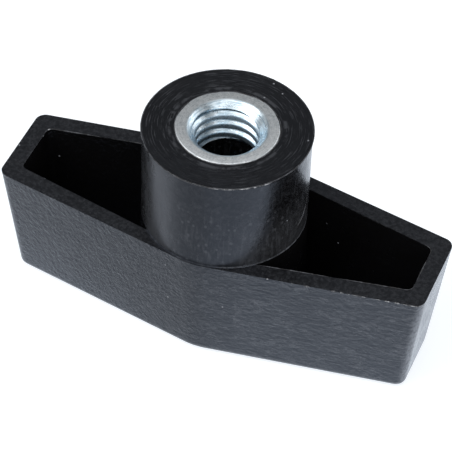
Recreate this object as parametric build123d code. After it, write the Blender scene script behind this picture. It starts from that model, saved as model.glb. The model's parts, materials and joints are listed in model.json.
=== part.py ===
from build123d import *
from math import radians, sqrt, tan
import os

# A hand knob, resting on its grip face with the hub up.
# Lengths are in millimetres and angles in degrees.
# The origin is the middle of the grip face. Z runs up the hub's axis and X along the grip.

# The tub: a six-sided grip that is open towards the hub.
# The middle widths are taken between the apexes of the long sides, before they are rounded.
tub_height = 14.8
rim_length = 48.3
rim_end_width = 10.2
rim_middle_width = 18.4
tub_draft = 5.5
tub_corner_radius = 1.2
tub_middle_radius = 7.3
grip_edge_radius = 1.15

# The two pockets: one hollow of six sides, parted by the hub that stands in it.
end_wall = 1.85
pocket_end_width = 6.6
pocket_middle_width = 15.3
pocket_draft = 5.0
pocket_corner_radius = 0.8
pocket_floor_chamfer = 0.6
grip_wall = 2.2

# The hub: a round boss that rises above the rim, with a thin lip where its mould was parted.
hub_diameter = 17.7
hub_rise = 11.6
hub_pocket_draft = 2.0
hub_foot_size = 0.12
hub_lip_overhang = 0.15
hub_lip_height = 0.3

# The thread: ISO metric coarse. The bore is at the thread's minor diameter.
thread_diameter = 8.0
thread_pitch = 1.25
iso_minor_factor = 5 * sqrt(3) / 8

# The insert: a bush with a plain head, a knurled shank and one holding groove.
insert_length = 5.3
insert_proud = 0.1
head_diameter = 11.0
head_thickness = 1.2
head_edge_chamfer = 0.1
shank_diameter = 10.6
shank_end_chamfer = 0.4
groove_width = 0.9
groove_depth = 0.6
groove_from_head = 1.3
mouth_diameter = 8.4
end_countersink = 0.3
knurl_teeth = 32
knurl_depth = 0.3
knurl_opening = 0.8

# The blind hole behind the insert, for the end of the screw.
screw_hole_clearance = 0.2
screw_hole_depth = 16.4
screw_hole_floor_chamfer = 0.8

# Places that follow from the sizes above.
rim_z = tub_height
hub_top_z = tub_height + hub_rise
insert_top_z = hub_top_z + insert_proud
insert_bottom_z = insert_top_z - insert_length
head_bottom_z = insert_top_z - head_thickness
groove_top_z = head_bottom_z - groove_from_head
groove_bottom_z = groove_top_z - groove_width
pocket_floor_z = grip_wall
pocket_depth = rim_z - pocket_floor_z
hub_radius = hub_diameter / 2
bore_radius = (thread_diameter - iso_minor_factor * thread_pitch) / 2
mouth_radius = mouth_diameter / 2
mouth_depth = mouth_radius - bore_radius

rim_plane = Plane.XY.offset(rim_z)
rim_down = Plane(origin=(0, 0, rim_z), x_dir=(1, 0, 0), z_dir=(0, 0, -1))
side_view = Plane.XZ


def six_sided(length, end_width, middle_width):
    """A long hexagon that is widest in its middle, centred on the origin."""
    half_length = length / 2
    half_end = end_width / 2
    half_middle = middle_width / 2
    corners = [
        (half_length, -half_end),
        (half_length, half_end),
        (0, half_middle),
        (-half_length, half_end),
        (-half_length, -half_end),
        (0, -half_middle),
    ]
    return make_face(Polyline(*corners, close=True))


def turned(points):
    """A solid of revolution about the hub's axis, from points of (radius, height)."""
    return revolve(make_face(side_view * Polyline(*points, close=True)), axis=Axis.Z)


def hanging_prism(outline, depth, draft_angle):
    """A prism that hangs from the rim and narrows downwards, with plane sides."""
    prism = extrude(rim_down * outline, amount=depth)
    sides = prism.faces().filter_by(Axis.Z, reverse=True)
    return draft(sides, rim_plane, -draft_angle)


def upright_edges(solid, at_ends):
    """The edges that climb to the rim, either at the ends of the grip or at its middle."""
    climbing = solid.edges().filter_by(lambda edge: edge.bounding_box().size.Z > pocket_depth / 2)
    return climbing.filter_by(lambda edge: (abs(edge.center().X) > hub_radius) == at_ends)


def make_tub():
    """The outer form of the grip, still solid, with its upright edges and its grip edge rounded."""
    outline = six_sided(rim_length, rim_end_width, rim_middle_width)
    tub = hanging_prism(outline, tub_height, tub_draft)
    tub = fillet(upright_edges(tub, at_ends=False), tub_middle_radius)
    tub = fillet(upright_edges(tub, at_ends=True), tub_corner_radius)
    return fillet(tub.edges().group_by(Axis.Z)[0], grip_edge_radius)


def make_hub():
    """The round boss, from the rim up to its lip."""
    lip_radius = hub_radius + hub_lip_overhang
    return turned([
        (0, rim_z),
        (hub_radius, rim_z),
        (hub_radius, hub_top_z - hub_lip_height),
        (lip_radius, hub_top_z),
        (0, hub_top_z),
    ])


def make_hub_foot(tub):
    """The small sloping foot where the hub meets the rim, kept within the rim's outline."""
    rim_face = tub.faces().sort_by(Axis.Z)[-1]
    foot = turned([
        (0, rim_z),
        (hub_radius + hub_foot_size, rim_z),
        (hub_radius, rim_z + hub_foot_size),
        (0, rim_z + hub_foot_size),
    ])
    return foot & extrude(rim_face, amount=hub_foot_size, dir=(0, 0, 1))


def make_pockets():
    """The two hollows, one on each side of the hub, open above the rim."""
    pocket_length = rim_length - 2 * end_wall
    outline = six_sided(pocket_length, pocket_end_width, pocket_middle_width)
    hollow = hanging_prism(outline, pocket_depth, pocket_draft)
    hollow = fillet(upright_edges(hollow, at_ends=True), pocket_corner_radius)
    hollow = chamfer(hollow.edges().group_by(Axis.Z)[0], pocket_floor_chamfer)
    wall_spread = pocket_depth * tan(radians(hub_pocket_draft))
    hub_wall = turned([
        (0, pocket_floor_z),
        (hub_radius + wall_spread, pocket_floor_z),
        (hub_radius, rim_z),
        (0, rim_z),
    ])
    above = extrude(hollow.faces().sort_by(Axis.Z)[-1], amount=hub_foot_size, dir=(0, 0, 1))
    return (hollow - hub_wall) + (above - make_hub())


def insert_envelope():
    """The insert without its bore and its knurl, which is also the seat that the plastic forms."""
    head_radius = head_diameter / 2
    shank_radius = shank_diameter / 2
    groove_radius = shank_radius - groove_depth
    return turned([
        (0, insert_bottom_z),
        (shank_radius - shank_end_chamfer, insert_bottom_z),
        (shank_radius, insert_bottom_z + shank_end_chamfer),
        (shank_radius, groove_bottom_z),
        (groove_radius, groove_bottom_z),
        (groove_radius, groove_top_z),
        (shank_radius, groove_top_z),
        (shank_radius, head_bottom_z),
        (head_radius, head_bottom_z),
        (head_radius, insert_top_z - head_edge_chamfer),
        (head_radius - head_edge_chamfer, insert_top_z),
        (0, insert_top_z),
    ])


def make_screw_hole():
    """The blind hole behind the insert."""
    hole_radius = thread_diameter / 2 + screw_hole_clearance
    hole_length = screw_hole_depth - (hub_top_z - insert_bottom_z)
    hole = Pos(0, 0, insert_bottom_z - hole_length / 2) * Cylinder(hole_radius, hole_length)
    return chamfer(hole.edges().group_by(Axis.Z)[0], screw_hole_floor_chamfer)


def make_insert():
    """The bush with its bore, its countersunk mouth and end, and the knurl on its shank."""
    bore = turned([
        (0, insert_bottom_z),
        (bore_radius + end_countersink, insert_bottom_z),
        (bore_radius, insert_bottom_z + end_countersink),
        (bore_radius, insert_top_z - mouth_depth),
        (mouth_radius, insert_top_z),
        (0, insert_top_z),
    ])
    shank_radius = shank_diameter / 2
    shank_length = head_bottom_z - insert_bottom_z
    slope = knurl_opening / 2 / knurl_depth
    notch_corners = [
        (shank_radius - knurl_depth, 0),
        (shank_radius + knurl_depth, 2 * knurl_depth * slope),
        (shank_radius + knurl_depth, -2 * knurl_depth * slope),
    ]
    notch_face = Plane.XY.offset(insert_bottom_z) * make_face(Polyline(*notch_corners, close=True))
    notch = extrude(notch_face, amount=shank_length)
    turn = 360 / knurl_teeth
    notches = [Rot(0, 0, turn * tooth) * notch for tooth in range(knurl_teeth)]
    return insert_envelope() - bore - notches


def make_body():
    """The moulding: tub, hub and foot in one, with its pockets, the insert's seat and the hole."""
    tub = make_tub()
    form = tub + make_hub() + make_hub_foot(tub)
    return form - make_pockets() - insert_envelope() - make_screw_hole()


os.makedirs("parts", exist_ok=True)
export_step(make_body(), "parts/knob_body.step")
export_step(make_insert(), "parts/threaded_insert.step")
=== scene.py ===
"""The looks of a moulded hand knob with a threaded steel insert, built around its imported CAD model.

Every length is in metres and every angle in degrees, in the frame of the CAD model: the origin is
the middle of the grip face, X runs along the grip and Z runs up the hub's axis.
"""
import json
import logging
import math
import random
from collections.abc import Callable
from dataclasses import dataclass
from enum import Enum
from functools import partial, reduce

import bmesh
import bpy
from mathutils import Matrix, Vector, noise

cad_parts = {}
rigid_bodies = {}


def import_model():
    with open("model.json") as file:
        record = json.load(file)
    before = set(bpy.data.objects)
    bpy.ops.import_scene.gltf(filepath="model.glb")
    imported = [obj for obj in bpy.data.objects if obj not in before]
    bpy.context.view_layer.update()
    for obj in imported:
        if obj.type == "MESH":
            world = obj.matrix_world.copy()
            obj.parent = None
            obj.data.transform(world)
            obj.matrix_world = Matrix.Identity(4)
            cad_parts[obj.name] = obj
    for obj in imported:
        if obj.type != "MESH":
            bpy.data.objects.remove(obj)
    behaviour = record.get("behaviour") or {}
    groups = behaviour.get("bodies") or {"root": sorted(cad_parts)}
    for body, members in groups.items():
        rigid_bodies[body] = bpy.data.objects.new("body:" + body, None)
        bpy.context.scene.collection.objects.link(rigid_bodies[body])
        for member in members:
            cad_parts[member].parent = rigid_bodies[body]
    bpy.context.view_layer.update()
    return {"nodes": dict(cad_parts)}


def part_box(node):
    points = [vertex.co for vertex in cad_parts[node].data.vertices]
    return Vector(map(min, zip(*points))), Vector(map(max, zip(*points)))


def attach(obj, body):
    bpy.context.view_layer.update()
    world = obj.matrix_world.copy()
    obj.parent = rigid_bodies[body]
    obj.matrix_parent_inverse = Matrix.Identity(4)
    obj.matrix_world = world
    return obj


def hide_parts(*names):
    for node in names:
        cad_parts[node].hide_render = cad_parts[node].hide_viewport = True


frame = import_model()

MM = 0.001
LOG = logging.getLogger("hand_knob")

Material = bpy.types.Material
Node = bpy.types.Node
Piece = bpy.types.Object
Socket = bpy.types.NodeSocket
Colour = tuple[float, float, float, float]
Point3 = tuple[float, float, float]
Value = float | Socket


class Slot(Enum):
    """The record's material slots."""

    PLASTIC = "black_plastic"
    STEEL = "zinc_steel"


class Streaks(Enum):
    """How the grain of a moulded face runs, as a scale in X, Y and Z."""

    UPRIGHT = (1.0, 1.0, 0.8)
    ALONG_GRIP = (0.46, 0.46, 1.0)
    DOWN_HUB = (1.0, 1.0, 0.14)


@dataclass(frozen=True)
class Step:
    """A smooth step: where it starts and ends, and its values there."""

    low: float
    high: float
    at_low: float = 0.0
    at_high: float = 1.0


@dataclass(frozen=True)
class Band:
    """A soft-edged band: its middle, and how far it reaches on each side."""

    middle: float
    half_width: float


@dataclass(frozen=True)
class GrainSize:
    """How fine a grain and its clouds are, in cells per metre."""

    fineness: float
    cloud: float


@dataclass(frozen=True)
class SpeckSize:
    """The cells per metre that may hold a speck, its size in its cell, and the share of cells with one."""

    spacing: float
    size: float
    share: float


class NodeGraph:
    """Adds nodes to one node tree and links them."""

    # For each kind of mix, the inputs of its two values and the output, as the Mix node counts them.
    mix_sockets = {"FLOAT": (2, 3, 0), "RGBA": (6, 7, 2)}

    def __init__(self, tree: bpy.types.NodeTree) -> None:
        """Takes the tree that the nodes go into."""
        self.tree = tree

    def add(self, kind: str, **settings: object) -> Node:
        """Adds one node.

        Args:
            kind: the node's type name in Blender.
            settings: properties of the node and their values.

        Returns:
            The new node.
        """
        node = self.tree.nodes.new(kind)
        for name, value in settings.items():
            setattr(node, name, value)
        return node

    def put(self, socket: Socket, value: object) -> None:
        """Links a socket to another one, or writes a plain value on it.

        Args:
            socket: the input that takes the value.
            value: another socket, or a plain value.
        """
        if isinstance(value, Socket):
            self.tree.links.new(value, socket)
        else:
            socket.default_value = value

    def feed(self, node: Node, *values: object) -> Node:
        """Puts values on a node's first inputs.

        Args:
            node: the node.
            values: sockets or plain values, in the order of the inputs.

        Returns:
            The same node.
        """
        for socket, value in zip(node.inputs, values):
            self.put(socket, value)
        return node

    def wire(self, node: Node, **values: object) -> Node:
        """Puts values on a node's named inputs.

        Args:
            node: the node.
            values: a value for each name, with underscores for the spaces in it.

        Returns:
            The same node.
        """
        for label, value in values.items():
            self.put(node.inputs[label.replace("_", " ")], value)
        return node

    def math(self, operation: str, first: Value, second: Value = 0.0, clamp: bool = False) -> Value:
        """One sum of two values; a clamped one is kept between 0 and 1."""
        node = self.add("ShaderNodeMath", operation=operation, use_clamp=clamp)
        return self.feed(node, first, second).outputs[0]

    def invert(self, value: Value, clamp: bool = False) -> Value:
        """What a value lacks to 1."""
        return self.math("SUBTRACT", 1.0, value, clamp)

    def total(self, *values: Value) -> Value:
        """The sum of several values."""
        return reduce(partial(self.math, "ADD"), values)

    def product(self, *values: Value) -> Value:
        """The product of several values."""
        return reduce(partial(self.math, "MULTIPLY"), values)

    def ramp(self, value: Value, step: Step) -> Value:
        """A smooth step of a value."""
        node = self.add("ShaderNodeMapRange", interpolation_type="SMOOTHSTEP")
        return self.feed(node, value, step.low, step.high, step.at_low, step.at_high).outputs["Result"]

    def band(self, value: Value, band: Band) -> Value:
        """A mask that is 1 in the middle of a band and falls to 0 at its edges."""
        away = self.math("ABSOLUTE", self.math("SUBTRACT", value, band.middle))
        return self.ramp(away, Step(0.0, band.half_width, 1.0, 0.0))

    def scaled(self, vector: Value, scale: Point3) -> Value:
        """A vector times a scale of its own in each direction."""
        node = self.add("ShaderNodeVectorMath", operation="MULTIPLY")
        return self.feed(node, vector, scale).outputs[0]

    def parts(self, vector: Value) -> list[Value]:
        """The X, Y and Z of a vector."""
        return list(self.feed(self.add("ShaderNodeSeparateXYZ"), vector).outputs)

    def joined(self, x: Value, y: Value, z: Value) -> Value:
        """A vector from its X, Y and Z."""
        return self.feed(self.add("ShaderNodeCombineXYZ"), x, y, z).outputs[0]

    def mix(self, share: Value, first: object, second: object, kind: str = "FLOAT") -> Value:
        """A value or a colour between two others.

        Args:
            share: how much of the second one there is.
            first: the first one.
            second: the second one.
            kind: Blender's name for what is mixed.

        Returns:
            The socket that holds the result.
        """
        node = self.add("ShaderNodeMix", data_type=kind)
        *inputs, output = self.mix_sockets[kind]
        for index, value in zip((0, *inputs), (share, first, second)):
            self.put(node.inputs[index], value)
        return node.outputs[output]

    def blend(self, share: Value, first: object, second: object) -> Value:
        """A colour between two others, with that share of the second."""
        return self.mix(share, first, second, "RGBA")

    def noise(self, vector: Value, scale: Value, detail: float, roughness: float, bend: float = 0.0) -> Value:
        """A noise between 0 and 1."""
        node = self.wire(self.add("ShaderNodeTexNoise"), Vector=vector, Scale=scale, Detail=detail)
        return self.wire(node, Roughness=roughness, Distortion=bend).outputs["Fac"]

    def bump(self, height: Value, distance: float) -> Value:
        """The normal of a surface that a height map raises by up to a distance."""
        return self.wire(self.add("ShaderNodeBump"), Height=height, Distance=distance).outputs["Normal"]


class EffectGroup:
    """A node group with named inputs and outputs, built once for all the materials that use it."""

    name = "effect"
    inputs: dict[str, str] = {}
    outputs: dict[str, str] = {}

    def __init__(self) -> None:
        """Makes the group's sockets and fills it."""
        self.tree = bpy.data.node_groups.new(self.name, "ShaderNodeTree")
        for side, sockets in (("INPUT", self.inputs), ("OUTPUT", self.outputs)):
            for label, kind in sockets.items():
                self.tree.interface.new_socket(name=label, in_out=side, socket_type=kind)
        graph = NodeGraph(self.tree)
        entry = graph.add("NodeGroupInput")
        leave = graph.add("NodeGroupOutput")
        for label, value in self.fill(graph, entry.outputs).items():
            graph.put(leave.inputs[label], value)

    def fill(self, graph: NodeGraph, given: bpy.types.NodeOutputs) -> dict[str, Value]:
        """Adds the group's nodes.

        Args:
            graph: the group's own tree.
            given: the sockets of the group's inputs.

        Returns:
            The socket for each of the group's outputs.
        """
        raise NotImplementedError

    def place(self, graph: NodeGraph, **values: object) -> Node:
        """Puts the group into a material's tree, with a value for each input."""
        return graph.wire(graph.add("ShaderNodeGroup", node_tree=self.tree), **values)


class Grain(EffectGroup):
    """Fine unevenness of a moulded or brushed surface, with a broader cloudiness over it."""

    name = "surface_grain"
    inputs = {"Vector": "NodeSocketVector", "Fineness": "NodeSocketFloat", "Cloud Size": "NodeSocketFloat"}
    outputs = {"Height": "NodeSocketFloat", "Cloud": "NodeSocketFloat"}

    def fill(self, graph: NodeGraph, given: bpy.types.NodeOutputs) -> dict[str, Value]:
        """Two noises: the grain itself, and the clouds.

        Args:
            graph: the group's own tree.
            given: the sockets of the group's inputs.

        Returns:
            The grain's height and the cloud mask.
        """
        place = given["Vector"]
        fine = graph.noise(place, given["Fineness"], detail=4.0, roughness=0.62, bend=0.3)
        cloud = graph.noise(place, given["Cloud Size"], detail=3.0, roughness=0.55)
        return {"Height": fine, "Cloud": cloud}

    def lay(self, graph: NodeGraph, vector: Value, size: GrainSize) -> Node:
        """Places the group with a size of grain."""
        return self.place(graph, Vector=vector, Fineness=size.fineness, Cloud_Size=size.cloud)


class Specks(EffectGroup):
    """Small light specks of dust and flash, scattered thinly."""

    name = "light_specks"
    inputs = {"Vector": "NodeSocketVector", **dict.fromkeys(("Spacing", "Size", "Share"), "NodeSocketFloat")}
    outputs = {"Mask": "NodeSocketFloat"}
    edge_steepness = 2.5

    def fill(self, graph: NodeGraph, given: bpy.types.NodeOutputs) -> dict[str, Value]:
        """A soft-edged spot in the middle of some of the cells.

        Args:
            graph: the group's own tree.
            given: the sockets of the group's inputs.

        Returns:
            The mask of the specks.
        """
        cells = graph.add("ShaderNodeTexVoronoi", feature="F1")
        graph.wire(cells, Vector=given["Vector"], Scale=given["Spacing"])
        inside = graph.math("SUBTRACT", given["Size"], cells.outputs["Distance"])
        steepness = graph.math("DIVIDE", self.edge_steepness, given["Size"])
        near = graph.math("MULTIPLY", inside, steepness, clamp=True)
        chosen = graph.math("LESS_THAN", graph.parts(cells.outputs["Color"])[0], given["Share"])
        return {"Mask": graph.product(near, chosen)}

    def lay(self, graph: NodeGraph, vector: Value, size: SpeckSize) -> Value:
        """The mask of specks of one size."""
        node = self.place(graph, Vector=vector, Spacing=size.spacing, Size=size.size, Share=size.share)
        return node.outputs["Mask"]


class TurningMarks(EffectGroup):
    """Fine rings about the hub's axis, as a lathe or a turned mould leaves them."""

    name = "turning_marks"
    inputs = {"Vector": "NodeSocketVector", "Fineness": "NodeSocketFloat", "Breaks": "NodeSocketFloat"}
    outputs = {"Height": "NodeSocketFloat", "Radius": "NodeSocketFloat"}

    def fill(self, graph: NodeGraph, given: bpy.types.NodeOutputs) -> dict[str, Value]:
        """A noise that is long around the axis and short across it.

        Args:
            graph: the group's own tree.
            given: the sockets of the group's inputs.

        Returns:
            The height of the rings, and the distance from the axis.
        """
        x, y, z = graph.parts(given["Vector"])
        length = graph.add("ShaderNodeVectorMath", operation="LENGTH")
        radius = graph.feed(length, graph.joined(x, y, 0.0)).outputs["Value"]
        across = graph.product(radius, given["Fineness"])
        around = graph.product(graph.math("ARCTAN2", y, x), given["Breaks"])
        height = graph.noise(graph.joined(across, around, z), 1.0, detail=2.0, roughness=0.6)
        return {"Height": height, "Radius": radius}


@dataclass(frozen=True)
class Effects:
    """The node groups that the finishes share."""

    grain: Grain
    specks: Specks
    marks: TurningMarks


def new_material(name: str) -> tuple[Material, NodeGraph, Node]:
    """An empty material with its surface shader.

    Args:
        name: the material's name.

    Returns:
        The material, its graph and its Principled shader.
    """
    material = bpy.data.materials.new(name)
    material.use_nodes = True
    graph = NodeGraph(material.node_tree)
    return material, graph, material.node_tree.nodes["Principled BSDF"]


@dataclass(frozen=True)
class PlasticLook:
    """Colours, sizes and limits of the black plastic's finish."""

    base: Colour = (0.004, 0.0038, 0.0041, 1.0)
    # The wear's lighter colour; it also paints the reflection strip down the front of the hub's left side.
    wear_and_sheen: Colour = (0.044, 0.046, 0.051, 1.0)
    # A lighter colour that paints the mottled reflection on the end facing +X.
    end_sheen: Colour = (0.15, 0.16, 0.18, 1.0)
    # The specks' colour, which also paints the highlight line on the hub's right side.
    speck_and_highlight: Colour = (0.27, 0.28, 0.3, 1.0)
    specular_tint: Colour = (0.68, 0.79, 1.0, 1.0)
    index_of_refraction: float = 1.54
    relief: float = 0.11 * MM

    even_grain: GrainSize = GrainSize(2300.0, 620.0)
    drawn_grain: GrainSize = GrainSize(2000.0, 760.0)
    blotches: GrainSize = GrainSize(1400.0, 190.0)
    hub_streaks: GrainSize = GrainSize(3200.0, 900.0)
    specks: SpeckSize = SpeckSize(620.0, 0.08, 0.16)
    spots: SpeckSize = SpeckSize(1650.0, 0.32, 0.5)
    ring_fineness: float = 7200.0
    ring_breaks: float = 3.4

    hub_top: float = 26.2 * MM
    hub_foot: float = 14.9 * MM
    hub_reach: float = 9.3 * MM
    rim_height: float = 14.7 * MM
    hollow_half_width: float = 8.3 * MM
    hollow_half_length: float = 23.2 * MM
    hollow_taper: float = 0.19
    hollow_draft: float = 0.09

    facing_up: Step = Step(0.85, 0.95)
    sloping: Step = Step(0.3, 0.6)
    facing_right: Step = Step(0.3, 0.85)
    right_half: Step = Step(-3 * MM, 5 * MM)
    drawn_share: float = 0.7

    hub_smoothness: float = 0.83
    flat_relief: float = 0.5
    ring_relief: float = 0.5
    speck_relief: float = 0.6

    ring_lines: Step = Step(0.52, 0.68)
    ring_clouds: Step = Step(0.35, 0.65, 0.36, 0.85)
    # The rings lighten less toward the hub top's near edge: a painted falloff of the reflection.
    ring_nearness: Step = Step(-8.5 * MM, -4.5 * MM, 0.35, 1.0)
    arc: Band = Band(6.018 * MM, 0.3 * MM)
    arc_breaks: Step = Step(0.45, 0.6, 0.0, 1.2)

    patches: Step = Step(0.5, 0.66)
    side_patches: float = 0.4
    top_patches: float = 0.08
    side_scuffs: Step = Step(0.48, 0.62, 0.0, 0.5)
    top_scuffs: Step = Step(0.3, 0.8, 0.0, 0.5)
    clouds: Step = Step(0.35, 0.65, 0.0, 0.08)
    left_wear: float = 0.8
    top_wear: float = 1.1
    hub_lightening: float = 0.6
    hub_top_bareness: float = 0.85
    mottle: Step = Step(0.4, 0.6, 0.35, 2.0)
    # How the painted reflection on the end facing +X is mottled.
    end_sheen_mottle: Step = Step(0.38, 0.62, 0.3, 1.0)

    marked_height: Band = Band(18 * MM, 6 * MM)
    spot_clouds: Step = Step(0.4, 0.6, 1.04, 2.6)
    streak_lines: Step = Step(0.5, 0.66, 0.0, 0.52)
    # The painted reflection strip down the front of the hub's left side, and the lighter patch low on its
    # right.
    left_reflection: Band = Band(-4.6 * MM, 3.6 * MM)
    left_reflection_back: Step = Step(-4 * MM, -2 * MM, 1.1, 0.0)
    right_foot: Step = Step(3 * MM, 6 * MM, 0.0, 0.5)
    right_foot_top: Step = Step(17 * MM, 22 * MM, 1.0, 0.0)
    strip_clouds: Step = Step(0.3, 0.7, 0.65, 1.25)

    # A painted highlight: a long light line low on the hub's right side, near its edge.
    highlight_turn: float = 0.157
    highlight_fall: float = 0.12
    highlight_low: float = 16.6 * MM
    highlight_climb: float = 3.0 * MM
    highlight_width: Band = Band(0.0, 0.26 * MM)
    highlight_start: Step = Step(-0.26, 0.08)
    highlight_end: float = 0.2
    highlight_breaks: Step = Step(0.35, 0.6, 0.45, 1.0)

    gloss: Step = Step(0.25, 0.75, 0.17, 0.28)
    foot_radius: Band = Band(8.93 * MM, 0.3 * MM)
    foot_height: Band = Band(14.86 * MM, 0.25 * MM)
    foot_dullness: Step = Step(1.5 * MM, 3.5 * MM, 0.5, 0.0)
    hub_front_dullness: Step = Step(-7.5 * MM, -4 * MM, 0.07, 0.0)


class BlackPlastic:
    """Black moulded plastic: fine grain on the sides, rings on the hub's top, and a few light specks."""

    def __init__(self, look: PlasticLook, effects: Effects) -> None:
        """Adds the textures, and masks that are 1 on one part of the moulding.

        Args:
            look: the finish's colours, sizes and limits.
            effects: the shared node groups.
        """
        self.look = look
        self.material, self.graph, self.shader = new_material("moulded_black_plastic")
        graph = self.graph
        place = graph.add("ShaderNodeTexCoord").outputs["Object"]
        self.x, self.y, self.z = graph.parts(place)
        upright, along, down = (graph.scaled(place, streaks.value) for streaks in Streaks)
        self.even = effects.grain.lay(graph, upright, look.even_grain).outputs
        self.drawn = effects.grain.lay(graph, along, look.drawn_grain).outputs
        self.blotches = effects.grain.lay(graph, upright, look.blotches).outputs
        self.streaks = effects.grain.lay(graph, down, look.hub_streaks).outputs
        self.specks = effects.specks.lay(graph, place, look.specks)
        self.spots = effects.specks.lay(graph, upright, look.spots)
        rings = effects.marks.place(graph, Vector=place, Fineness=look.ring_fineness, Breaks=look.ring_breaks)
        self.rings, self.radius = rings.outputs["Height"], rings.outputs["Radius"]

        rightward, _, facing = graph.parts(graph.add("ShaderNodeNewGeometry").outputs["True Normal"])
        self.upward = graph.ramp(facing, look.facing_up)
        self.sideways = graph.invert(graph.ramp(graph.math("ABSOLUTE", facing), look.sloping))
        self.near_hub = graph.math("LESS_THAN", self.radius, look.hub_reach)
        self.hub_top = graph.product(self.upward, graph.math("GREATER_THAN", self.z, look.hub_top))
        self.hub = graph.product(self.near_hub, graph.math("GREATER_THAN", self.z, look.hub_foot))
        off_hub_sides = graph.invert(graph.total(self.hub, self.upward), clamp=True)
        self.right = graph.product(graph.ramp(self.x, look.right_half), off_hub_sides)
        end = graph.product(graph.ramp(rightward, look.facing_right), self.sideways)
        self.end = graph.product(end, graph.invert(self.hub))
        drawn_share = graph.product(self.right, look.drawn_share)
        self.grain = graph.mix(drawn_share, self.even["Height"], self.drawn["Height"])

    def outside(self) -> Value:
        """Masks out the pockets.

        Returns:
            A mask that is 0 within the pockets, below the rim, and 1 elsewhere.
        """
        graph, look = self.graph, self.look
        along, across = (graph.math("ABSOLUTE", value) for value in (self.x, self.y))
        inset = graph.product(graph.math("SUBTRACT", look.rim_height, self.z), look.hollow_draft)
        limits = (
            (graph.total(across, graph.product(along, look.hollow_taper), inset), look.hollow_half_width),
            (graph.total(along, inset), look.hollow_half_length),
            (self.z, look.rim_height),
        )
        return graph.invert(graph.product(*(graph.math("LESS_THAN", *limit) for limit in limits)))

    def right_edge_highlight(self) -> Value:
        """Paints a highlight as a long light line low on the hub's right side, near its edge.

        Returns:
            The mask of the painted highlight.
        """
        graph, look = self.graph, self.look
        turn = graph.math("ARCTAN2", self.y, self.x)
        share = graph.math("DIVIDE", graph.math("SUBTRACT", turn, look.highlight_turn), look.highlight_fall)
        curve = graph.product(graph.math("EXPONENT", share), look.highlight_climb)
        away = graph.math("SUBTRACT", self.z, graph.total(curve, look.highlight_low))
        begun = graph.ramp(turn, look.highlight_start)
        reach = graph.product(begun, graph.math("LESS_THAN", turn, look.highlight_end))
        breaks = graph.ramp(self.even["Cloud"], look.highlight_breaks)
        return graph.product(graph.band(away, look.highlight_width), self.near_hub, reach, breaks)

    def top_wear(self) -> Value:
        """Lightens the rings and one arc on the hub's top; the rings lighten less toward its near edge, a
        painted falloff of the reflection there.

        Returns:
            The share of wear.
        """
        graph, look = self.graph, self.look
        clouds = graph.ramp(self.blotches["Cloud"], look.ring_clouds)
        # Painted reflection falloff: less lightening of the rings toward the near edge.
        clouds = graph.product(clouds, graph.ramp(self.y, look.ring_nearness))
        rings = graph.product(graph.ramp(self.rings, look.ring_lines), clouds)
        arc = graph.product(graph.band(self.radius, look.arc), graph.ramp(self.even["Cloud"], look.arc_breaks))
        return graph.product(graph.total(rings, arc), self.hub_top)

    def side_wear(self) -> Value:
        """Lightens patches, scuffs and clouds on the grip and the rim.

        Returns:
            The share of wear.
        """
        graph, look = self.graph, self.look
        patch_share = graph.mix(self.upward, look.side_patches, look.top_patches)
        patches = graph.product(graph.ramp(self.blotches["Height"], look.patches), patch_share)
        scuffs = (graph.ramp(self.grain, step) for step in (look.side_scuffs, look.top_scuffs))
        clouds = graph.ramp(self.blotches["Cloud"], look.clouds)
        left = graph.mix(self.upward, look.left_wear, look.top_wear)
        level = graph.mix(self.right, left, graph.ramp(self.drawn["Cloud"], look.mottle))
        bareness = graph.invert(graph.product(self.hub_top, look.hub_top_bareness))
        level = graph.product(level, bareness, graph.mix(self.hub, 1.0, look.hub_lightening))
        return graph.product(graph.total(patches, graph.mix(self.upward, *scuffs), clouds), level)

    def hub_lightening(self) -> Value:
        """Lightens soft spots and fine streaks on the hub's side, paints a reflection as a light strip down the
        front of its left side, and lightens a patch low on its right.

        Returns:
            The share of wear and of painted reflection.
        """
        graph, look = self.graph, self.look
        spots = graph.product(self.spots, graph.ramp(self.blotches["Cloud"], look.spot_clouds))
        marks = graph.total(spots, graph.ramp(self.streaks["Height"], look.streak_lines))
        marks = graph.product(marks, graph.band(self.z, look.marked_height))
        # Painted reflection: a light strip down the front of the hub's left side; then a lighter patch low on
        # its right side, both broken up by clouds.
        reflection_strip, back = graph.band(self.x, look.left_reflection), graph.ramp(self.y, look.left_reflection_back)
        foot, top = graph.ramp(self.x, look.right_foot), graph.ramp(self.z, look.right_foot_top)
        strip_and_patch = graph.total(graph.product(reflection_strip, back), graph.product(foot, top))
        strip_and_patch = graph.product(strip_and_patch, graph.ramp(self.streaks["Cloud"], look.strip_clouds))
        return graph.product(graph.total(marks, strip_and_patch), self.hub, self.sideways)

    def colour(self) -> Value:
        """Joins the base, the wear with its painted reflection and falloff, the end's painted mottled
        reflection, the specks and the painted highlight line.

        Returns:
            The colour of the surface.
        """
        graph, look = self.graph, self.look
        outside = self.outside()
        wear = graph.total(self.top_wear(), self.side_wear(), self.hub_lightening())
        wear = graph.math("MULTIPLY", wear, outside, clamp=True)
        # Painted reflection: a mottled lighter colour on the end facing +X, outside the pockets.
        end_sheen_share = graph.product(self.end, outside, graph.ramp(self.even["Height"], look.end_sheen_mottle))
        colour = graph.blend(end_sheen_share, graph.blend(wear, look.base, look.wear_and_sheen), look.end_sheen)
        # The light specks, and the painted highlight line on the hub's right side.
        light = graph.math("MAXIMUM", self.specks, self.right_edge_highlight())
        return graph.blend(light, colour, look.speck_and_highlight)

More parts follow.
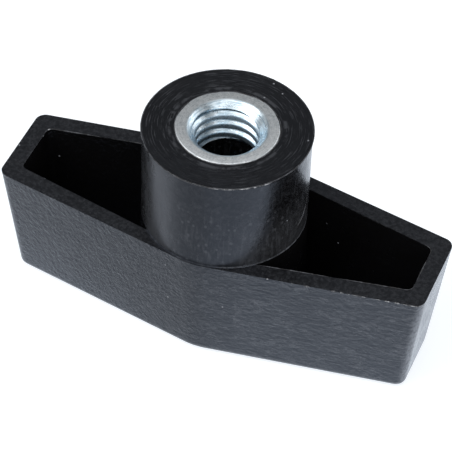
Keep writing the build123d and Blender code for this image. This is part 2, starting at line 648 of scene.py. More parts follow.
    def roughness(self) -> Value:
        """Sets the gloss, duller along the hub's foot and on its front.

        Returns:
            The roughness of the surface.
        """
        graph, look = self.graph, self.look
        foot = graph.band(self.radius, look.foot_radius)
        foot = graph.product(foot, graph.band(self.z, look.foot_height), graph.ramp(self.x, look.foot_dullness))
        front = graph.product(self.hub, graph.ramp(self.y, look.hub_front_dullness))
        return graph.total(graph.ramp(self.even["Cloud"], look.gloss), foot, front)

    def normal(self) -> Value:
        """Raises the grain of the sides, the rings of the hub's top and the specks.

        Returns:
            The normal of the surface.
        """
        graph, look = self.graph, self.look
        calm = graph.invert(graph.product(self.hub, look.hub_smoothness))
        sides = graph.product(self.grain, graph.total(look.flat_relief, self.sideways), calm)
        rings = graph.product(self.rings, self.hub_top, look.ring_relief)
        specks = graph.product(self.specks, look.speck_relief)
        return graph.bump(graph.total(sides, rings, specks), look.relief)

    def build(self) -> Material:
        """Wires the shader.

        Returns:
            The finished material.
        """
        look = self.look
        surface = {"Base_Color": self.colour(), "Roughness": self.roughness(), "Normal": self.normal()}
        self.graph.wire(self.shader, **surface)
        self.graph.wire(self.shader, IOR=look.index_of_refraction, Specular_Tint=look.specular_tint)
        return self.material


@dataclass(frozen=True)
class WhitenedFlash:
    """Thin torn flash of the same plastic, gone pale where it bent; with darker colours, also the lighter
    plastic of the edge lips, which paints the highlight along the edges.
    """

    name: str = "whitened_plastic_flash"
    pale: Colour = (0.46, 0.47, 0.5, 1.0)
    dark: Colour = (0.03, 0.032, 0.038, 1.0)
    gloss: Step = Step(0.2, 0.8, 0.4, 0.6)
    breaks: Step = Step(0.38, 0.6)
    grain: GrainSize = GrainSize(9000.0, 1300.0)
    relief: float = 0.01 * MM

    def build(self, effects: Effects) -> Material:
        """Makes the material.

        Args:
            effects: the shared node groups.

        Returns:
            The finished material.
        """
        material, graph, shader = new_material(self.name)
        place = graph.add("ShaderNodeTexCoord").outputs["Object"]
        grain = effects.grain.lay(graph, place, self.grain).outputs
        colour = graph.blend(graph.ramp(grain["Cloud"], self.breaks), self.dark, self.pale)
        rough = graph.ramp(grain["Height"], self.gloss)
        normal = graph.bump(grain["Height"], self.relief)
        graph.wire(shader, Base_Color=colour, Roughness=rough, Normal=normal)
        return material


# The edge lips' finish: a lighter plastic that paints the highlight along the edges.
EDGE_HIGHLIGHT = WhitenedFlash(
    name="edge_highlight_plastic",
    pale=(0.08, 0.085, 0.097, 1.0),
    dark=(0.012, 0.012, 0.014, 1.0),
    gloss=Step(0.2, 0.8, 0.26, 0.46),
    breaks=Step(0.38, 0.62),
)


@dataclass(frozen=True)
class ZincSteel:
    """Zinc-plated turned steel: satin, with fine rings and a few dull spots, darker towards the back left; its
    thread crests are a dull blue, less metallic copy of the steel that paints the grey-blue reflection they
    show.
    """

    bright: Colour = (0.93, 0.965, 0.99, 1.0)
    dull: Colour = (0.46, 0.5, 0.53, 1.0)
    blued: Colour = (0.79, 0.91, 0.99, 1.0)
    # A dull blue that paints the reflection seen on the thread crests.
    crest: Colour = (0.3, 0.42, 0.52, 1.0)
    lined: Colour = (0.34, 0.5, 0.62, 1.0)

    grain: GrainSize = GrainSize(5200.0, 1500.0)
    specks: SpeckSize = SpeckSize(900.0, 0.1, 0.12)
    ring_fineness: float = 9000.0
    ring_breaks: float = 2.2
    relief: float = 0.02 * MM
    grain_relief: float = 0.6

    face: Step = Step(4.1 * MM, 4.5 * MM)
    crests: Step = Step(3.36 * MM, 3.44 * MM, 0.85, 0.0)
    crest_metal: Step = Step(22.2 * MM, 25.2 * MM, 0.811, 0.454)
    dull_clouds: Step = Step(0.42, 0.62, 0.0, 0.3)
    dull_grain: Step = Step(0.45, 0.62, 0.0, 0.28)
    dull_rings: Step = Step(0.45, 0.65, 0.0, 0.25)
    # Darker towards the back left.
    back_left_darkening: Step = Step(-4.5 * MM, 3.5 * MM, 0.0, 0.3)
    back_slant: float = 0.6
    mouth_dullness: float = 0.3
    ring_lines: Step = Step(0.49, 0.58)
    mouth_lines: float = 0.75
    gloss: Step = Step(0.3, 0.7, 0.24, 0.35)
    face_roughness: float = 0.28

    def build(self, effects: Effects) -> Material:
        """Makes the material.

        Args:
            effects: the shared node groups.

        Returns:
            The finished material.
        """
        material, graph, shader = new_material("zinc_plated_steel")
        place = graph.add("ShaderNodeTexCoord").outputs["Object"]
        x, y, z = graph.parts(place)
        grain = effects.grain.lay(graph, place, self.grain).outputs
        specks = effects.specks.lay(graph, place, self.specks)
        marks = effects.marks.place(graph, Vector=place, Fineness=self.ring_fineness, Breaks=self.ring_breaks)
        rings, radius = marks.outputs["Height"], marks.outputs["Radius"]
        on_face, on_crest = graph.ramp(radius, self.face), graph.ramp(radius, self.crests)
        # The colour also darkens towards the back left, along this slant.
        backward = graph.math("SUBTRACT", y, graph.product(x, self.back_slant))
        dull_sources = (
            (grain["Cloud"], self.dull_clouds),
            (grain["Height"], self.dull_grain),
            (rings, self.dull_rings),
            (backward, self.back_left_darkening),
        )
        dullness = graph.total(*(graph.ramp(*source) for source in dull_sources))
        dullness = graph.math("MAXIMUM", dullness, specks, clamp=True)
        dullness = graph.product(dullness, graph.mix(on_face, self.mouth_dullness, 1.0))
        lines = graph.product(graph.ramp(rings, self.ring_lines), graph.mix(on_face, self.mouth_lines, 0.0))
        clean = graph.blend(lines, graph.blend(on_face, self.blued, self.bright), self.lined)
        # Painted reflection: the crests take a dull blue, less metallic copy of the steel.
        clean = graph.blend(on_crest, clean, self.crest)
        rough = graph.product(on_face, self.face_roughness)
        rough = graph.total(graph.ramp(grain["Cloud"], self.gloss), rough)
        relief = graph.total(rings, graph.product(grain["Height"], self.grain_relief))
        # The painted crests are less metallic high up and more metallic deeper down.
        metal = graph.mix(on_crest, 1.0, graph.ramp(z, self.crest_metal))
        graph.wire(shader, Base_Color=graph.blend(dullness, clean, self.dull), Roughness=rough)
        graph.wire(shader, Metallic=metal, Normal=graph.bump(relief, self.relief))
        return material


class Sheet:
    """Collects strips of rows of points, each row as long as the last, and makes one mesh of them."""

    def __init__(self, name: str) -> None:
        """Starts an empty mesh of that name."""
        self.name = name
        self.strips: list[tuple[list[list[Vector]], bool]] = []

    def strip(self, closed: bool) -> None:
        """Starts a strip; a closed one joins its last row to its first."""
        self.strips.append(([], closed))

    def row(self, points: list[Vector]) -> None:
        """Adds one more row of points to the last strip."""
        self.strips[-1][0].append(points)

    def build(self, sharp: float) -> Piece:
        """Makes the object; in each row the last point joins the first.

        Args:
            sharp: faces that meet at more than this angle keep a sharp edge.

        Returns:
            The new object, linked to the scene.
        """
        mesh = bpy.data.meshes.new(self.name)
        shape = bmesh.new()
        for strip, closed in self.strips:
            grid = [[shape.verts.new(point) for point in row] for row in strip]
            count, width = len(grid), len(grid[0])
            for i in range(count if closed else count - 1):
                for j in range(width):
                    after, beside = (i + 1) % count, (j + 1) % width
                    shape.faces.new((grid[i][j], grid[i][beside], grid[after][beside], grid[after][j]))
            if not closed:
                for row in (grid[0], grid[-1]):
                    shape.faces.new(row)
        bmesh.ops.recalc_face_normals(shape, faces=shape.faces)
        for face in shape.faces:
            face.smooth = True
        for edge in shape.edges:
            if len(edge.link_faces) == 2 and edge.calc_face_angle(0.0) > math.radians(sharp):
                edge.smooth = False
        shape.to_mesh(mesh)
        shape.free()
        made = bpy.data.objects.new(self.name, mesh)
        bpy.context.scene.collection.objects.link(made)
        return made


def dress(piece: Piece, material: Material) -> None:
    """Gives a piece its material and the body that it rides on, and reports it.

    Args:
        piece: the piece.
        material: its finish.
    """
    piece.data.materials.clear()
    piece.data.materials.append(material)
    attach(piece, "root")
    LOG.info("%s: %d faces", piece.name, len(piece.data.polygons))


def on_circle(radius: float, angle: float, height: float) -> Vector:
    """The point at a radius, an angle in radians and a height about the hub's axis."""
    return Vector((radius * math.cos(angle), radius * math.sin(angle), height))


@dataclass
class SteelInsert:
    """The bush in the hub, with its knurl, its countersunk mouth and a real right-hand thread."""

    thread_diameter: float = 8.0 * MM
    pitch: float = 1.25 * MM
    thread_start: float = 0.66
    thread_depth: float = 0.42 * MM
    thread_overlap: float = 0.02 * MM
    crest_share: float = 0.38
    crest_rounding: float = 0.16 * MM
    crest_corner: tuple[tuple[float, float], ...] = ((0.0, -0.9), (0.12, -0.35), (0.5, 0.2))
    flank_share: float = 7 / 8
    end_countersink: float = 0.3 * MM
    head_thickness: float = 1.2 * MM
    head_edge: float = 0.15 * MM
    head_wander: float = 0.09 * MM
    wander_scale: float = 2.4
    wander_level: float = 0.3
    shank_radius: float = 5.3 * MM
    end_chamfer: float = 0.4 * MM
    groove_depth: float = 0.6 * MM
    groove_width: float = 0.9 * MM
    groove_from_head: float = 1.3 * MM
    mouth_radius: float = 4.25 * MM
    mouth_edge: float = 0.5 * MM
    mouth_clearance: float = 0.01 * MM
    mouth_slope: float = math.radians(45)
    knurl_teeth: int = 32
    knurl_depth: float = 0.3 * MM
    knurl_steepness: float = 1.3
    steps_per_tooth: int = 6
    steps_per_turn: int = 96
    mouth_steps: int = 6
    edge_steps: int = 3
    sharp_angle: float = 34.0

    def __post_init__(self) -> None:
        """Takes the height and the head's radius from the CAD node, and the thread's radii from its size."""
        low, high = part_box("threaded_insert")
        self.bottom, self.top, self.head_radius = low.z, high.z, high.x
        self.minor = self.thread_diameter / 2 - 5 * math.sqrt(3) / 16 * self.pitch
        self.major = self.minor + self.thread_depth

    def mouth_lip(self, across: float) -> float:
        """The radius of the mouth's rounded lip, where the lip's arc is that share of its radius across."""
        return self.mouth_radius + self.mouth_edge * (math.sqrt(2) - 1 - across)

    def mouth_surface(self, height: float) -> float:
        """Follows the mouth: a rounded lip above a cone.

        Args:
            height: a height in the insert.

        Returns:
            The radius of the mouth there.
        """
        drop = max(0.0, self.top - height)
        if drop > self.mouth_edge * (1 - math.cos(self.mouth_slope)):
            return self.mouth_radius - drop
        return self.mouth_lip(math.sqrt(1 - (1 - drop / self.mouth_edge) ** 2))

    def add_thread(self, sheet: Sheet) -> None:
        """Adds the thread as a right-hand ridge with rounded crests, cut off by the mouth.

        Args:
            sheet: the mesh that it goes into.
        """
        crest = self.pitch * self.crest_share
        flank = (self.pitch * self.flank_share - crest) / 2
        root = self.major + self.thread_overlap
        low, high = self.bottom + self.end_countersink, self.top - self.thread_overlap
        soft = self.crest_rounding
        corner = [(self.minor + out * soft, crest + up * soft) for out, up in self.crest_corner]
        profile = [(root, -flank), (self.minor, 0.0), *corner, (root, crest + flank)]
        sheet.strip(closed=False)
        first = math.ceil(((low - crest - flank) / self.pitch + self.thread_start) * self.steps_per_turn)
        last = math.floor((self.top / self.pitch + self.thread_start) * self.steps_per_turn)
        for step in range(first + 1, last + 1):
            turn = step / self.steps_per_turn
            base = self.pitch * (turn - self.thread_start)
            row = []
            for radius, rise in profile:
                height = min(base + rise, high)
                if height < low:
                    climb = max(0.0, (low - base - crest) / flank)
                    height, radius = low, max(radius, self.minor + climb * (root - self.minor))
                radius = max(radius, self.mouth_surface(height) + self.mouth_clearance)
                row.append(on_circle(radius, math.tau * turn, height))
            sheet.row(row)

    def wander(self, turn: float) -> float:
        """How far the head's outline lies inside its full circle at a share of a full turn."""
        spot = on_circle(1.0, math.tau * turn, self.wander_level) * self.wander_scale
        return self.head_wander * max(0.0, min(1.0, 0.5 + noise.noise(spot)))

    def shank(self, turn: float) -> float:
        """The radius of the knurled shank at a share of a full turn."""
        across = abs((turn * self.knurl_teeth) % 1.0 - 0.5) * 2
        return self.shank_radius - self.knurl_depth * max(0.0, 1.0 - across * self.knurl_steepness)

    def outer_stations(self) -> list[tuple[float | None, float]]:
        """Sets out the outline from the far end up to the ring face.

        Returns:
            A radius and a height for each station; no radius means the knurl.
        """
        head_bottom = self.top - self.head_thickness
        groove_top = head_bottom - self.groove_from_head
        groove_bottom = groove_top - self.groove_width
        groove_radius = self.shank_radius - self.groove_depth
        stations = [
            (self.shank_radius - self.end_chamfer, self.bottom),
            (None, self.bottom + self.end_chamfer),
            (None, groove_bottom),
            (groove_radius, groove_bottom),
            (groove_radius, groove_top),
            (None, groove_top),
            (None, head_bottom),
            (self.head_radius, head_bottom),
        ]
        for step in range(self.edge_steps + 1):
            angle = math.pi / 2 * step / self.edge_steps
            radius = self.head_radius - self.head_edge * (1 - math.cos(angle))
            stations.append((radius, self.top - self.head_edge * (1 - math.sin(angle))))
        return stations

    def inner_stations(self) -> list[tuple[float, float]]:
        """Sets out the outline from the ring face down the mouth and the bore.

        Returns:
            A radius and a height for each station.
        """
        stations = []
        for step in range(self.mouth_steps + 1):
            angle = self.mouth_slope * step / self.mouth_steps
            height = self.top - self.mouth_edge * (1 - math.cos(angle))
            stations.append((self.mouth_lip(math.sin(angle)), height))
        bore_top = self.top - (self.mouth_radius - self.major)
        return [*stations, (self.major, bore_top), (self.major, self.bottom)]

    def build(self, material: Material) -> Piece:
        """Makes the insert and puts it in the place of its CAD node.

        Args:
            material: the steel.

        Returns:
            The piece.
        """
        count = self.knurl_teeth * self.steps_per_tooth
        turns = [step / count for step in range(count)]
        sheet = Sheet("steel_insert")
        sheet.strip(closed=True)

        def ring(radius_at: Callable[[float], float], height: float) -> None:
            """Adds one ring of points at a height."""
            sheet.row([on_circle(radius_at(turn), math.tau * turn, height) for turn in turns])

        for radius, height in self.outer_stations():
            if radius is None:
                ring(self.shank, height)
            elif height > self.top - self.head_thickness:
                ring(lambda turn, size=radius: size - self.wander(turn), height)
            else:
                ring(lambda turn, size=radius: size, height)
        for radius, height in self.inner_stations():
            ring(lambda turn, size=radius: size, height)
        self.add_thread(sheet)
        piece = sheet.build(self.sharp_angle)
        dress(piece, material)
        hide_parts("threaded_insert")
        return piece


@dataclass
class RimOutline:
    """The six-sided outline of the tub or of its pockets at the rim, with rounded corners."""

    half_length: float
    half_end: float
    half_middle: float
    corner_radius: float
    middle_radius: float
    arc_steps: int = 8

    def corners(self) -> list[tuple[Vector, float]]:
        """Sets out the six corners.

        Returns:
            Each corner with the radius that rounds it.
        """
        corners = []
        for side in (1, -1):
            for end in (-self.half_end, self.half_end):
                corners.append((Vector((self.half_length, end)) * side, self.corner_radius))
            corners.append((Vector((0.0, self.half_middle)) * side, self.middle_radius))
        return corners

    def points(self, height: float) -> list[Vector]:
        """Rounds the corners.

        Args:
            height: where the outline lies.

        Returns:
            The closed outline as points, against the clock; its last point isn't its first again.
        """
        corners = self.corners()
        line = []
        for index, (corner, radius) in enumerate(corners):
            before = (corners[index - 1][0] - corner).normalized()
            after = (corners[(index + 1) % len(corners)][0] - corner).normalized()
            if radius == 0:
                line.append(corner)
                continue
            half = before.angle(after) / 2
            middle = (before + after).normalized()
            centre = corner + middle * (radius / math.sin(half))
            start = corner + before * (radius / math.tan(half)) - centre
            sweep = math.pi - 2 * half
            for step in range(self.arc_steps + 1):
                line.append(centre + Matrix.Rotation(sweep * step / self.arc_steps, 2) @ start)
        return [Vector((point.x, point.y, height)) for point in line]


def spaced(line: list[Vector], gap: float) -> list[Vector]:
    """Puts points on an open line about one gap apart.

    Args:
        line: the line's own points, which are kept.
        gap: the space between two points.

    Returns:
        The line with its new points.
    """
    out = [line[0]]
    for first, second in zip(line, line[1:]):
        pieces = max(1, round((second - first).length / gap))
        out += [first.lerp(second, step / pieces) for step in range(1, pieces + 1)]
    return out


def arc(start: float, end: float, radius: float, height: float, step: float = 2.0) -> list[Vector]:
    """Points on a circle about the hub's axis.

    Args:
        start: the first point's angle.
        end: the last point's angle.
        radius: the circle's radius.
        height: where it lies.
        step: the angle between two points, about.

    Returns:
        The points.
    """
    steps = round((end - start) / step)
    angles = [math.radians(start + (end - start) * index / steps) for index in range(steps + 1)]
    return [on_circle(radius, angle, height) for angle in angles]


@dataclass
class Ridge:
    """Thin ridges along one or more lines, such as torn flash or the rounded lip of an edge."""

    name: str
    lines: list[list[Vector]]
    width: float
    height: float
    raggedness: float
    gap: float
    sides: int = 6
    seed: int = 7
    wander_scale: float = 2.2 / MM
    wander_share: float = 1.4
    thinnest: float = 0.12
    tip: float = 0.1
    end_steepness: float = 4.0
    sharp_angle: float = 70.0

    def build(self) -> Piece:
        """Makes each ridge as a tube whose thickness wanders.

        Returns:
            The piece, without a material.
        """
        sheet = Sheet(self.name)
        dice = random.Random(self.seed)
        for line in self.lines:
            self.add_tube(sheet, dice, spaced(line, self.gap))
        return sheet.build(self.sharp_angle)

    def thickness(self, dice: random.Random, point: Vector, from_end: float | None) -> float:
        """Lets the thickness wander.

        Args:
            dice: the source of the unevenness.
            point: where the tube is.
            from_end: how far that is from the nearer end, as a share of the tube, or None on a closed tube.

        Returns:
            The thickness as a share of the tube's own.
        """
        wander = noise.noise(point * self.wander_scale + Vector((self.seed, 0, 0)))
        size = 1.0 + self.raggedness * (wander * self.wander_share + dice.uniform(-0.5, 0.5))
        taper = 1.0 if from_end is None else min(1.0, self.end_steepness * from_end)
        return max(self.thinnest, size) * max(self.tip, taper)

    def add_tube(self, sheet: Sheet, dice: random.Random, points: list[Vector]) -> None:
        """Adds the tube along one line.

        Args:
            sheet: the mesh that it goes into.
            dice: the source of the uneven thickness.
            points: the line, evenly spaced.
        """
        closed = (points[0] - points[-1]).length < self.gap / 2
        points = points[:-1] if closed else points
        last = len(points) - 1
        sheet.strip(closed)
        for index, point in enumerate(points):
            if closed:
                ahead = points[(index + 1) % len(points)] - points[index - 1]
            else:
                ahead = points[min(index + 1, last)] - points[max(index - 1, 0)]
            side = ahead.normalized().cross(Vector((0, 0, 1))).normalized()
            size = self.thickness(dice, point, None if closed else min(index, last - index) / last)
            ring = []
            for step in range(self.sides):
                angle = math.tau * step / self.sides
                offset = side * (self.width * size * math.cos(angle))
                ring.append(point + offset + Vector((0, 0, self.height * size * math.sin(angle))))
            sheet.row(ring)


@dataclass(frozen=True)
class Tear:
    """How a line of flash is torn: its longest stretch, its widest gap and the seed of the breaks."""

    longest: float
    widest_gap: float
    seed: int
    shortest_share: float = 0.25
    narrowest_share: float = 0.1
    least_points: int = 4

    def stretches(self, line: list[Vector]) -> list[list[Vector]]:
        """Breaks a line into short torn stretches.

        Args:
            line: the whole line, evenly spaced.

        Returns:
            The stretches that have enough points.
        """
        dice = random.Random(self.seed)
        step = (line[1] - line[0]).length
        found, start = [], 0
        while start < len(line) - self.least_points:
            length = round(self.longest * dice.uniform(self.shortest_share, 1.0) / step)
            length = max(self.least_points, length)
            found.append(line[start:start + length])
            start += length + max(1, round(self.widest_gap * dice.uniform(self.narrowest_share, 1.0) / step))
        return [stretch for stretch in found if len(stretch) >= self.least_points]


@dataclass(frozen=True)
class RoundLip:
    """A fine lip on a circle about the hub's axis, between two angles."""

    name: str
    start: float
    end: float
    radius: float
    height: float
    size: float
    raggedness: float


@dataclass(frozen=True)
class FlashRun:
    """A part of the rim's near right edge, between two places along the grip, and how its flash is torn."""

    start: float
    end: float
    tear: Tear


@dataclass
class KnobBody:
    """The black moulding: the CAD node with its finish, and the small ridges along its edges."""

    rim_height: float = 14.8 * MM
    hub_height: float = 26.4 * MM
    hub_radius: float = 8.85 * MM

    lip_size: float = 0.055 * MM
    lip_raggedness: float = 0.5
    lip_gap: float = 0.3 * MM
    lip_tears: tuple[Tear, Tear] = (Tear(14 * MM, 0.6 * MM, 12), Tear(14 * MM, 0.6 * MM, 10))
    # Past this, the right pocket's lip also runs round the far end, painting that edge's highlight.
    lip_highlight_end: float = 21.0 * MM
    split_jump: float = 1.0 * MM

    round_lip_gap: float = 0.25 * MM
    round_lips: tuple[RoundLip, ...] = (
        RoundLip("hub_lip", 0.0, 360.0, 8.94 * MM, 26.37 * MM, 0.06 * MM, 0.25),
        RoundLip("seat_lip", 0.0, 360.0, 5.51 * MM, 26.4 * MM, 0.045 * MM, 0.5),
        RoundLip("foot_lip", -74.0, -41.0, 8.93 * MM, 14.88 * MM, 0.04 * MM, 0.4),
    )

    flash_gap: float = 0.06 * MM
    hub_flash_radius: float = 9.01 * MM
    hub_flash_drop: float = 0.06 * MM
    hub_flash_angles: tuple[float, float] = (-80.0, -36.0)
    hub_tear: Tear = Tear(1.6 * MM, 0.3 * MM, 5)
    rim_flash_drop: float = 0.03 * MM
    rim_runs: tuple[FlashRun, ...] = (
        FlashRun(14.6 * MM, 18.4 * MM, Tear(1.6 * MM, 0.25 * MM, 8)),
        FlashRun(18.9 * MM, 24.0 * MM, Tear(2.2 * MM, 0.3 * MM, 8)),
        FlashRun(4.5 * MM, 13.5 * MM, Tear(0.8 * MM, 3.2 * MM, 8)),
    )
    corner_start: float = 22.5 * MM
    corner_end: float = -4.7 * MM
    corner_offset: Point3 = (0.02 * MM, -0.02 * MM, 0.0)
    pocket_flash_drop: float = 0.01 * MM
    pocket_flash_start: float = -21.1 * MM
    pocket_flash_side: float = 2.8 * MM
    pocket_tear: Tear = Tear(1.2 * MM, 0.15 * MM, 4)

    def __post_init__(self) -> None:
        """Sets out the outer and the inner outline of the rim."""
        self.outer = RimOutline(
            half_length=24.15 * MM,
            half_end=5.1 * MM,
            half_middle=9.2 * MM,
            corner_radius=1.2 * MM,
            middle_radius=7.3 * MM,
        )
        self.inner = RimOutline(
            half_length=22.3 * MM,
            half_end=3.3 * MM,
            half_middle=7.65 * MM,
            corner_radius=0.8 * MM,
            middle_radius=0.0,
        )

    def dress_moulding(self, plastic: Material) -> None:
        """Gives the CAD node its finish.

        Args:
            plastic: the moulding's material.
        """
        node = frame["nodes"]["knob_body"]
        node.data.materials.clear()
        node.data.materials.append(plastic)
        LOG.info("knob_body: CAD node kept, %d faces", len(node.data.polygons))

    def add_pocket_lips(self, wear_and_sheen: Material) -> None:
        """Adds the rounded lip along the near side and the far end of the right pocket and the back of the left
        one, in a lighter plastic that paints the highlight along these edges.

        Args:
            wear_and_sheen: the lips' material.
        """
        outline = self.inner.points(self.rim_height)
        fine = spaced(outline + outline[:1], self.lip_gap)
        fine = [point for point in fine if point.xy.length > self.hub_radius]
        right = [point for point in fine if point.x > 0]
        split = next(i for i in range(1, len(right)) if (right[i] - right[i - 1]).length > self.split_jump)
        right = [point for point in right[split:] + right[:split] if point.y < 0 or point.x > self.lip_highlight_end]
        left = [point for point in fine if point.x < 0 and point.y > 0]
        for name, line, tear in zip(("right_pocket_lip", "left_pocket_lip"), (right, left), self.lip_tears):
            size = {"width": self.lip_size, "height": self.lip_size, "raggedness": self.lip_raggedness}
            lip = Ridge(name, tear.stretches(line), **size, gap=self.lip_gap)
            dress(lip.build(), wear_and_sheen)

    def add_round_lips(self, wear_and_sheen: Material) -> None:
        """Adds the fine lips round the hub's top edge, against the insert and at the hub's foot, in a lighter
        plastic that paints the highlight along these edges.

        Args:
            wear_and_sheen: the lips' material.
        """
        for lip in self.round_lips:
            line = arc(lip.start, lip.end, lip.radius, lip.height)
            gap = self.round_lip_gap
            ridge = Ridge(lip.name, [line], lip.size, lip.size, lip.raggedness, gap, sides=8, seed=3)
            dress(ridge.build(), wear_and_sheen)

    def add_hub_flash(self, flash: Material) -> None:
        """Adds the torn flash along the near part of the hub's top edge.

        Args:
            flash: its material.
        """
        edge = arc(*self.hub_flash_angles, self.hub_flash_radius, self.hub_height - self.hub_flash_drop)
        lines = self.hub_tear.stretches(spaced(edge, self.flash_gap))
        size = {"width": 0.04 * MM, "height": 0.045 * MM, "raggedness": 0.9}
        dress(Ridge("hub_flash", lines, **size, gap=self.flash_gap, seed=1).build(), flash)

    def add_rim_flash(self, flash: Material) -> None:
        """Adds the torn flash along the near right edge of the tub, and at a pocket's far corner.

        Args:
            flash: its material.
        """
        outline = self.outer.points(self.rim_height - self.rim_flash_drop)
        near = [point for point in spaced(outline + outline[:1], self.flash_gap) if point.y < 0 < point.x]
        near.sort(key=lambda point: point.x)
        lines = []
        for run in self.rim_runs:
            lines += run.tear.stretches([point for point in near if run.start < point.x < run.end])
        corner = [point for point in near if point.x > self.corner_start and point.y < self.corner_end]
        lines.append([point + Vector(self.corner_offset) for point in corner])
        inner = spaced(self.inner.points(self.rim_height - self.pocket_flash_drop), self.flash_gap)
        start, side = self.pocket_flash_start, self.pocket_flash_side
        inner = [point for point in inner if point.x < start and point.y > side]
        lines += self.pocket_tear.stretches(inner)
        size = {"width": 0.045 * MM, "height": 0.05 * MM, "raggedness": 0.95}
        dress(Ridge("rim_flash", lines, **size, gap=self.flash_gap, seed=20).build(), flash)

    def build(self, plastic: Material, wear_and_sheen: Material, flash: Material) -> None:
        """Dresses the moulding and adds its ridges.

        Args:
            plastic: the moulding's material.
            wear_and_sheen: the material of the lips.
            flash: the material of the torn flash.
        """
        self.dress_moulding(plastic)
        self.add_pocket_lips(wear_and_sheen)
        self.add_round_lips(wear_and_sheen)
        self.add_hub_flash(flash)
        self.add_rim_flash(flash)


@dataclass(frozen=True)
class Softbox:
    """A square light: where it hangs, the length of its side and its power in watts."""

    name: str
    place: Point3
    size: float
    power: float

    def hang(self, aim: Point3) -> None:
        """Makes the light.

        Args:
            aim: the point that it faces.
        """
        lamp = bpy.data.lights.new(self.name, "AREA")
        lamp.size = self.size
        lamp.energy = self.power
        holder = bpy.data.objects.new(self.name, lamp)
        holder.location = self.place
        direction = Vector(aim) - Vector(self.place)
        holder.rotation_euler = direction.to_track_quat("-Z", "Y").to_euler()
        bpy.context.scene.collection.objects.link(holder)


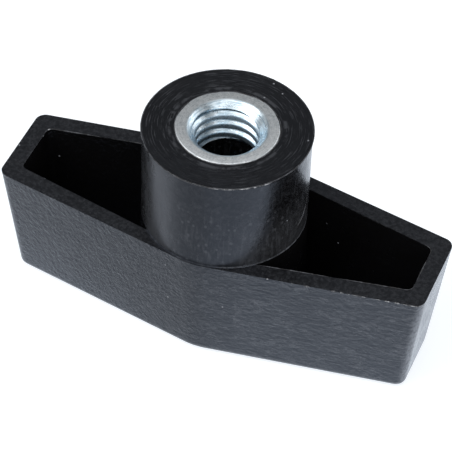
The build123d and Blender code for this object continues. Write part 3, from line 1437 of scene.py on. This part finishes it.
@dataclass
class Studio:
    """The pale floor, the room and the soft lights."""

    floor_size: float = 4.0
    floor_glow: float = 0.8
    mirror_glow: float = 1.0
    floor_albedo: float = 0.5
    floor_colour: Colour = (0.9, 0.945, 1.0, 1.0)
    mirrored_colour: Colour = (0.8, 0.885, 1.0, 1.0)
    # Where the mirrored glow dims in front of the knob, most on the left: a painted shadow.
    pool_front: Step = Step(-30 * MM, -11 * MM, 0.62, 1.0)
    pool_side: Step = Step(-5 * MM, 7 * MM, 0.44, 0.82)
    pool_back: Step = Step(-10 * MM, -4 * MM)
    room_glow: float = 0.2
    horizon: Step = Step(-0.2, 0.5, 0.4, 1.0)
    horizon_height: Step = Step(0.12, 0.6)
    lit_point: Point3 = (0.0, 0.0, 15 * MM)
    softboxes: tuple[Softbox, ...] = (
        Softbox("key", (-0.45, -0.35, 0.55), 0.56, 2.5),
        Softbox("fill", (0.5, -0.45, 0.4), 0.5, 1.4),
        Softbox("front", (-0.1, -0.54, 0.6), 0.6, 0.8),
        Softbox("overhead", (0.03, -0.16, 0.72), 0.55, 1.0),
        Softbox("behind", (0.46, 0.4, 0.24), 0.4, 0.5),
    )

    def floor_glow_nodes(self, graph: NodeGraph) -> Node:
        """Makes the floor white to the camera, and to what mirrors it a pale glow round the knob that dims in
        front of it, a painted shadow.

        Args:
            graph: the floor material's tree.

        Returns:
            The emission shader.
        """
        path = graph.add("ShaderNodeLightPath").outputs
        x, y, _ = graph.parts(graph.add("ShaderNodeTexCoord").outputs["Object"])
        mirrored = graph.math("ADD", path["Is Glossy Ray"], path["Is Transmission Ray"], clamp=True)
        # Painted shadow: the mirrored glow dims in front of the knob.
        near = graph.product(graph.ramp(y, self.pool_front), graph.ramp(x, self.pool_side))
        pool = graph.mix(graph.ramp(y, self.pool_back), near, 1.0)
        mirrored = graph.product(mirrored, pool, self.mirror_glow)
        seen = graph.product(path["Is Camera Ray"], self.floor_glow)
        colour = graph.blend(path["Is Camera Ray"], self.mirrored_colour, self.floor_colour)
        return graph.wire(graph.add("ShaderNodeEmission"), Strength=graph.total(seen, mirrored), Color=colour)

    def lay_floor(self) -> None:
        """Lays the floor, which looks white, keeps a faint shadow and isn't seen from below."""
        bpy.ops.mesh.primitive_plane_add(size=self.floor_size)
        plane = bpy.context.object
        plane.name = "floor"
        material = bpy.data.materials.new("pale_floor")
        material.use_nodes = True
        material.cycles.emission_sampling = "NONE"
        material.node_tree.nodes.clear()
        graph = NodeGraph(material.node_tree)
        paint = graph.wire(graph.add("ShaderNodeBsdfDiffuse"), Color=(self.floor_albedo,) * 3 + (1.0,))
        glow = self.floor_glow_nodes(graph)
        above = graph.feed(graph.add("ShaderNodeAddShader"), paint.outputs[0], glow.outputs[0])
        below = graph.add("ShaderNodeBsdfTransparent")
        back = graph.add("ShaderNodeNewGeometry").outputs["Backfacing"]
        sided = graph.feed(graph.add("ShaderNodeMixShader"), back, above.outputs[0], below.outputs[0])
        graph.wire(graph.add("ShaderNodeOutputMaterial"), Surface=sided.outputs[0])
        plane.data.materials.append(material)

    def light_room(self) -> None:
        """Sets a room that is white to the camera and dim overhead, with a lighter horizon."""
        world = bpy.data.worlds.new("studio")
        bpy.context.scene.world = world
        world.use_nodes = True
        graph = NodeGraph(world.node_tree)
        across, _, up = graph.parts(graph.add("ShaderNodeTexCoord").outputs["Generated"])
        rise = graph.ramp(up, self.horizon_height)
        low = graph.product(graph.ramp(across, self.horizon), graph.invert(rise))
        room = graph.total(low, graph.product(rise, self.room_glow))
        seen = graph.add("ShaderNodeLightPath").outputs["Is Camera Ray"]
        sky = world.node_tree.nodes["Background"]
        graph.wire(sky, Strength=graph.mix(seen, room, 1.0), Color=(1.0, 1.0, 1.0, 1.0))

    def build(self) -> None:
        """Lays the floor, lights the room and hangs the softboxes."""
        self.lay_floor()
        self.light_room()
        for softbox in self.softboxes:
            softbox.hang(self.lit_point)


@dataclass
class PhotoCamera:
    """The photograph's viewing angle, distance and roll."""

    azimuth: float = 20.71
    elevation: float = 45.68
    roll: float = -2.475
    distance: float = 256.16 * MM
    aim: Point3 = (1.242 * MM, -2.522 * MM, 14.8 * MM)
    lens: float = 193.29
    sensor: float = 36.0
    clip_start: float = 10 * MM

    def build(self) -> None:
        """Makes the camera and gives it to the scene."""
        turn, rise = math.radians(self.azimuth), math.radians(self.elevation)
        back = Vector((math.sin(turn) * math.cos(rise), -math.cos(turn) * math.cos(rise), math.sin(rise)))
        data = bpy.data.cameras.new("photo_camera")
        data.lens = self.lens
        data.sensor_width = self.sensor
        data.clip_start = self.clip_start
        camera = bpy.data.objects.new("photo_camera", data)
        level = (-back).to_track_quat("-Z", "Y").to_matrix()
        rolled = level @ Matrix.Rotation(math.radians(-self.roll), 3, "Z")
        camera.matrix_world = Matrix.Translation(Vector(self.aim) + back * self.distance) @ rolled.to_4x4()
        bpy.context.scene.collection.objects.link(camera)
        bpy.context.scene.camera = camera


def main() -> None:
    """Builds the finishes, the knob's pieces and the studio."""
    logging.basicConfig(level=logging.INFO, format="%(message)s")
    bpy.context.scene.view_settings.view_transform = "Standard"
    effects = Effects(Grain(), Specks(), TurningMarks())
    plastic = BlackPlastic(PlasticLook(), effects).build()
    flash = WhitenedFlash().build(effects)
    # The lips' lighter plastic paints the highlight along the edges.
    wear_and_sheen = EDGE_HIGHLIGHT.build(effects)
    steel = ZincSteel().build(effects)
    KnobBody().build(plastic, wear_and_sheen, flash)
    SteelInsert().build(steel)
    Studio().build()
    PhotoCamera().build()


if __name__ == "__main__":
    main()
